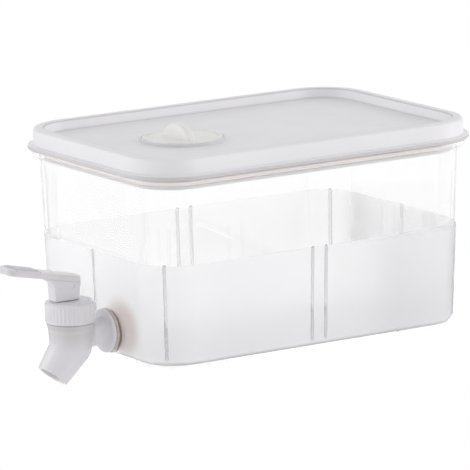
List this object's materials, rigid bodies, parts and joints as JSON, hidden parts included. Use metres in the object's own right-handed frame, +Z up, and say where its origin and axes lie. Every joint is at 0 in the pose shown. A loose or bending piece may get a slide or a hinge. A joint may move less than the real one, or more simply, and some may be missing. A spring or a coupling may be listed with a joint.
{
  "type": "fridge water jug with tap",
  "caption": "Low rectangular water jug for a fridge shelf: clear tub on corner feet, seated white lid with a lift-out filling cap, and a lever tap that springs shut.",
  "frame": {"origin": "middle of the tub's flat underside, 3.5 mm above the bottom of its feet", "axes": "+Z up; -X towards the end with the tap, along the jug's length; +Y across it"},
  "size_m": [0.303, 0.166, 0.1452],
  "materials": {
    "clear_plastic": "clear above, frosted in the lower band",
    "white_plastic": "satin translucent white",
    "cap_plastic": "satin warm white",
    "tap_plastic": "glossy white",
    "silicone": "matte translucent",
    "spring_steel": "bright drawn wire"
  },
  "bodies": {
    "jug": {"tub": "clear_plastic", "tap_body": "tap_plastic", "outer_gasket": "silicone", "inner_gasket": "silicone", "lock_nut": "tap_plastic", "collar_nut": "tap_plastic", "bonnet": "tap_plastic", "bonnet_gasket": "silicone", "stem_seal": "silicone"},
    "lid": {"lid": "white_plastic", "lid_seal": "silicone"},
    "cap": {"fill_cap": "cap_plastic", "cap_seal": "silicone"},
    "stem": {"valve_stem": "tap_plastic", "seat_cup": "silicone", "return_spring": "spring_steel"},
    "lever": {"lever": "tap_plastic", "hinge_pin": "tap_plastic"}
  },
  "joints": [
    {"name": "lid_lift", "type": "slide", "parent": "jug", "child": "lid", "axis": [0, 0, 1], "range_m": [0, 0.06]},
    {"name": "cap_lift", "type": "slide", "parent": "lid", "child": "cap", "axis": [0, 0, 1], "range_m": [0, 0.03]},
    {"name": "stem_lift", "type": "slide", "parent": "jug", "child": "stem", "axis": [0, 0, 1], "range_m": [0, 0.00283], "deforming": ["return_spring"]},
    {"name": "lever_press", "type": "hinge", "parent": "stem", "child": "lever", "pos_m": [-0.13643, -0.014, 0.0448], "axis": [0, -1, 0], "range_deg": [0, 18], "stiffness_Nm_per_rad": 0.0648, "springref_deg": -19.08}
  ],
  "couplings": [
    {"joint": "lever_press", "follows": "stem_lift", "rad_per_m": 111.11}
  ]
}
